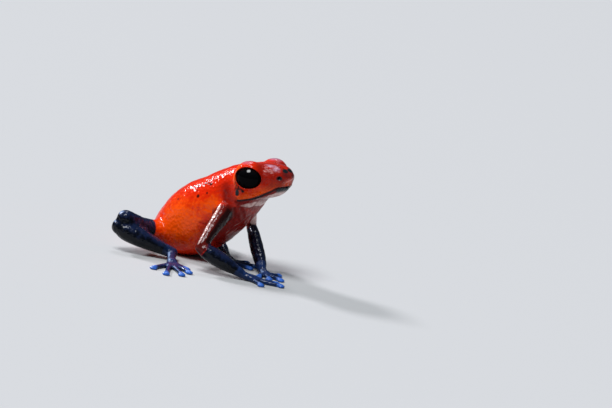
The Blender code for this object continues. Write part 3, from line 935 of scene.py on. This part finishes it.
# Dark spots of the head: centre, stretch, radii where they begin and are full, and strength
SPOTS = (
    ((13.18, -3.27, 9.44), (1, 1, 1.5), 0.36, 0.22, 1.0),
    ((13.94, -3.23, 9.79), (1, 1, 1), 0.26, 0.14, 1.0),
    ((17.42, -0.416, 12.62), (1, 1.3, 1), 0.42, 0.26, 1.0),
    ((17.75, -0.325, 12.4), (1, 1.3, 1), 0.75, 0.35, 0.6),
)


class Places:
    """Where each vertex of the finished skin is, in the ways that its colours ask for."""

    def __init__(self, clay):
        self.points = clay.points
        self.normals = clay.normals
        # on the upright head, with those of its left side mirrored to the right
        self.level = folded(clay.points)
        self.right = clay.points.copy()
        self.right[:, 1] = -np.abs(clay.points[:, 1])
        self.forward = self.level[:, 0]
        self.below_mouth = mouth_height(self.forward) - self.level[:, 2]
        self.mouth_gap, _ = distance_to_line(self.level, MOUTH_LINE)
        # the part of the head above the mouth
        self.face = ease(13.0, 13.4, self.forward) * ease(0.1, -0.1, self.below_mouth)

    def facing(self, way):
        return self.normals @ np.array(way)


def stretched(points, centre, stretch):
    """How far points are from a centre, each axis measured in lengths of the stretch."""
    return distance_to(points / stretch, np.divide(centre, stretch))


def leg_parts(at):
    """Above 0 on the blue-black skin of the legs, forearms, hands and feet."""
    leg = np.full(len(at.points), -1.0)
    for side in SIDES:
        outside, along = limb_reach(at.points, THIGH[side])
        leg = np.where(outside < THIGH_COAT, np.maximum(leg, (along - THIGH_START) * 0.9), leg)
        leg = np.where(limb_reach(at.points, SHANK[side])[0] < SHANK_COAT, 1.0, leg)
        outside, along = limb_reach(at.points, FOREARM[side])
        leg = np.where(outside < FOREARM_COAT, np.maximum(leg, (along - FOREARM_START) * 0.6), leg)
        for path in (PALM, SOLE):
            near = limb_reach(at.points, path[side])[0] < SOLE_COAT
            leg = np.where(near, np.maximum(leg, 1.0), leg)
        for line, _ in digit_lines(side):
            leg = np.where(distance_to_line(at.points, line)[0] < DIGIT_COAT, 1.0, leg)
    return leg


def digit_lines(side):
    """The centre line and the disc's middle of each finger and toe of a side."""
    for base, digits in ((PALM, FINGERS), (SOLE, TOES)):
        for middle, tip in digits[side]:
            yield [base[side][-1][0], (*middle, 0.2), (*tip, 0.2)], (*tip, DISC[2])


def blue_parts(at):
    """The bright blue of the discs, and a little of it on the hands and feet."""
    blue = np.zeros(len(at.points))
    for side in SIDES:
        for path, share in ((PALM, PALM_BLUE), (SOLE, SOLE_BLUE)):
            near = limb_reach(at.points, path[side])[0] < SOLE_COAT
            blue = np.maximum(blue, near * share)
        for line, disc in digit_lines(side):
            near = distance_to_line(at.points, line)[0] < DIGIT_COAT
            blue = np.maximum(blue, near * DIGIT_BLUE)
            blue = np.maximum(blue, ease(*DISC_REACH, distance_to(at.points, disc)))
    return blue


def arm_parts(at):
    """The dark of the near upper arm and of both elbows, with painted shade on the near arm's side
    that faces forward and down.
    """
    arm = np.zeros(len(at.points))
    for side in SIDES:
        outside, along = limb_reach(at.points, UPPER_ARM[side])
        # painted shade on the side that faces forward and down
        inner = 0.46 + 0.54 * ease(-0.1, 0.4, at.facing(INNER_ARM))
        dark = np.maximum(inner * ease(*INNER_DARK, along), ease(*LOWER_DARK, along) * 0.6)
        place, radius = UPPER_ARM[side][-1]
        elbow = distance_to(at.points, place) < radius + ELBOW_REACH
        dark = np.maximum(dark * (side == "right"), elbow * ELBOW_DARK)
        arm = np.where((outside < ARM_COAT) | elbow, np.clip(dark, 0, 1), arm)
    return arm


def sheen_parts(at):
    # a painted sky sheen, stronger where the skin faces up
    return ease(-0.1, 0.9, at.normals[:, 2])


def painted_glint_parts(at):
    """Painted glints: silvery streaks along the limbs, which are fainter on the left side."""
    return ease(0.90, 0.97, at.facing(PAINTED_GLINT_SIDE)) * np.where(at.points[:, 1] < 0, 1.0, 0.6)


def orange_parts(at):
    flank = hill(stretched(at.right, *FLANK), 2.3)
    shoulder = hill(distance_to(at.right, SHOULDER), 1.0)
    cheek = hill(distance_to_line(at.level, CHEEK)[0], 0.9)
    lip = hill(at.mouth_gap - 0.35, 0.5) * (at.below_mouth < 0)
    rim = hill(distance_to(at.level, EYE_CENTRE) - 1.80, 0.2) * ease(13.6, 12.9, at.forward)
    return flank + 0.25 * cheek + 0.8 * lip + rim + shoulder


def deep_red_and_shade_parts(at):
    """Deep red: painted shade where the chest faces down and in the creases, the neck's own deep red
    deepened by painted shade, and darker red at the throat, vent and snout.
    """
    # painted shade where the chest faces down
    chest = ease(0.1, -0.5, at.normals[:, 2]) * ease(8.6, 10.4, at.points[:, 0]) * (1 - at.face)
    neck = 0.85 * hill(distance_to_line(at.right, NECK)[0], 0.75)
    throat = hill(stretched(at.right, *THROAT), 1.9) * (1 - at.face)
    vent = 0.6 * hill(distance_to(at.points, VENT), 1.6)
    snout = 0.8 * ease(2.3, 1.2, stretched(at.level, *SNOUT))
    # painted shade in the creases
    creases = [hill(crease_gap(at.points, line), CREASE_WIDTH) for line, _ in CREASES]
    return np.maximum.reduce([chest, neck, throat, vent, snout]) + 0.6 * np.maximum.reduce(creases)


def pale_and_highlight_parts(at):
    """Painted highlights in the pale band under the jaw, along a crease's edges and in the near arm's
    streak, and a pale patch at the far armpit.
    """
    # a painted highlight under the jaw, where the skin faces down
    ragged = at.below_mouth + 0.12 * uneven(at.points, 1.9)
    top = np.interp(at.forward, *JAW_TOP)
    bottom = np.interp(at.forward, *JAW_BOTTOM)
    jaw = ease(top - 0.06, top + 0.06, ragged) * ease(bottom + 0.08, bottom - 0.08, ragged)
    jaw = jaw * ease(12.8, 13.6, at.forward) * ease(0.3, 0.0, at.normals[:, 2])
    jaw = jaw * np.clip(0.75 + 0.7 * uneven(at.points / (2.0, 1, 1), 2.0), 0, 1)
    outside, along = limb_reach(at.points, UPPER_ARM["left"])
    armpit = 0.85 * (outside < ARM_COAT) * ease(1.7, 2.7, along) * ease(0.1, 0.6, at.normals[:, 0])
    # painted highlights along the edges of a crease
    edges = hill(crease_gap(at.points, CREASES[1][0]) - 0.3, 0.12)
    edges = 0.6 * edges * ease(0.0, 0.4, uneven(at.points, 1.1))
    outside, along = limb_reach(at.points, UPPER_ARM["right"])
    # a painted highlight streak along the near upper arm
    streak = 0.7 * (outside < ARM_COAT) * ease(0.95, 0.99, at.facing(STREAK_SIDE))
    streak = streak * ease(1.3, 1.9, along)
    return np.maximum.reduce([jaw, armpit, edges, streak])


def painted_lavender_sheen_parts(at):
    """A painted lavender sheen on the lids and the top of the snout."""
    near_lid = hill(stretched(at.points, *NEAR_LID_TOP), 0.6)
    far_lid = hill(stretched(at.points, *FAR_LID_TOP), 0.75)
    return near_lid + far_lid + 0.9 * hill(distance_to_line(at.level, FOREHEAD)[0], 0.52)


def dark_parts(at):
    """Painted shade in the mouth's groove, the nostrils and the lids' margins, and the chin's patch,
    the mark under the eye and the head's dark spots.
    """
    # grooves are measured from the side, because their floors are farther from the lines
    flat = at.level * (1, 0, 1)
    # painted shade in the mouth's groove
    mouth = 0.96 * ease(0.13, 0.07, np.abs(at.below_mouth) * 0.85) * (at.mouth_gap < 0.6)
    chin = ease(0.52, 0.36, at.below_mouth) * ease(0.0, 0.06, at.below_mouth)
    chin = chin * ease(16.9, 17.2, at.forward)
    # painted shade in the nostrils
    nostril_gap = distance_to(flat, (NOSTRIL[0], 0, NOSTRIL[1]))
    nostril = ease(NOSTRIL_RADIUS + 0.10, NOSTRIL_RADIUS, nostril_gap)
    nostril = nostril * (distance_to(at.level, NOSTRIL_PLACE) < 0.8)
    # painted shade on the lids' margins, around the eyes
    margin = ease(LID_RADIUS - 0.03, LID_RADIUS - 0.09, distance_to(at.level, EYE_CENTRE))
    eye_mark = hill(distance_to_line(flat, EYE_MARK)[0], 0.13) * (at.level[:, 1] < -2.5)
    spots = [
        strength * ease(begin, full, stretched(at.level, centre, stretch))
        for centre, stretch, begin, full, strength in SPOTS
    ]
    return np.maximum.reduce([mouth, chin, nostril, margin, eye_mark] + spots)


def mark(skin):
    """Stores on each vertex of the skin how much it has of each marking."""
    at = Places(Clay(skin))
    store(skin, "leg", leg_parts(at))
    marks = {
        "arm": arm_parts, "blue": blue_parts, "sheen": sheen_parts, "painted_glint": painted_glint_parts,
        "orange": orange_parts, "deep_red_and_shade": deep_red_and_shade_parts, "pale_and_highlight": pale_and_highlight_parts, "painted_lavender_sheen": painted_lavender_sheen_parts,
        "dark": dark_parts,
    }
    for name, parts in marks.items():
        store(skin, name, np.clip(parts(at), 0, 1))


# The studio

FLOOR_RADIUS = 3.0
PAPER_COLOUR = (0.46, 0.465, 0.47, 1)
AIR_COLOUR, AIR_STRENGTH = (0.80, 0.88, 1.0, 1.0), 0.08
# Each light's name, azimuth, elevation, strength, spread and colour
LIGHTS = (
    ("overhead", -96, 62, 3.1, 26, (0.95, 0.98, 1.0)),
    ("behind", 177, 35, 2.3, 10, (0.97, 0.95, 1.0)),
    ("above", 135, 60, 0.7, 14, (0.90, 0.93, 1.0)),
)


def make_floor():
    bpy.ops.object.select_all(action="DESELECT")
    bpy.ops.mesh.primitive_circle_add(vertices=96, radius=FLOOR_RADIUS, fill_type="NGON")
    floor = bpy.context.object
    floor.name = "studio_floor"
    paper = Finish("studio_paper", Base_Color=PAPER_COLOUR, Roughness=0.9)
    floor.data.materials.append(paper.material)


def daylight(name, azimuth, elevation, strength, spread, tint):
    """Soft light from far off, which comes from an azimuth and an elevation in degrees."""
    bpy.ops.object.light_add(type="SUN")
    light = bpy.context.object
    light.name = name
    light.data.energy = strength
    light.data.angle = math.radians(spread)
    light.data.color = tint
    light.rotation_euler = (0, math.radians(90 - elevation), math.radians(azimuth))


def light_studio():
    world = bpy.data.worlds.new("studio_air")
    bpy.context.scene.world = world
    world.use_nodes = True
    air = world.node_tree.nodes["Background"]
    air.inputs["Color"].default_value = AIR_COLOUR
    air.inputs["Strength"].default_value = AIR_STRENGTH
    for light in LIGHTS:
        daylight(*light)


# The camera, which looks at the frog from its right and front, a little from above

CAMERA_AZIMUTH = math.radians(30)
CAMERA_ELEVATION = math.radians(9)
CAMERA_ROLL = math.radians(10)
CAMERA_TARGET = Vector((14.57, 9.82, 7.67))
CAMERA_DISTANCE = 220.0
PIXELS_PER_MM = 8.4
PICTURE_WIDTH = 612
SENSOR_WIDTH = 36.0


def make_camera():
    turn = (
        Matrix.Rotation(CAMERA_AZIMUTH, 4, "Z")
        @ Matrix.Rotation(math.pi / 2 - CAMERA_ELEVATION, 4, "X")
        @ Matrix.Rotation(CAMERA_ROLL, 4, "Z")
    )
    bpy.ops.object.camera_add()
    camera = bpy.context.object
    place = CAMERA_TARGET + (turn @ Vector((0, 0, 1))) * CAMERA_DISTANCE
    camera.matrix_world = Matrix.Translation(place * MM + SHIFT) @ turn
    camera.data.sensor_width = SENSOR_WIDTH
    camera.data.lens = PIXELS_PER_MM * CAMERA_DISTANCE / PICTURE_WIDTH * SENSOR_WIDTH
    camera.data.clip_start = 0.005
    camera.data.clip_end = 10.0
    bpy.context.scene.camera = camera


def main():
    make_camera()
    light_studio()
    make_floor()

    skin = make_skin()
    mark(skin)
    place_piece(skin)
    skin.data.materials.append(skin_finish())
    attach(skin, "root")
    flesh = [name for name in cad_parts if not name.startswith("eye_")]
    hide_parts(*flesh)

    eye_look = eye_finish()
    for side, (centre, axis) in zip(SIDES, on_both_sides(EYE_CENTRE, EYE_AXIS)):
        eye = make_eye(side, centre, axis)
        place_piece(eye)
        eye.data.materials.append(eye_look)
        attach(eye, "root")
        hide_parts("eye_" + side)

    bpy.context.scene.view_settings.view_transform = "Standard"


main()
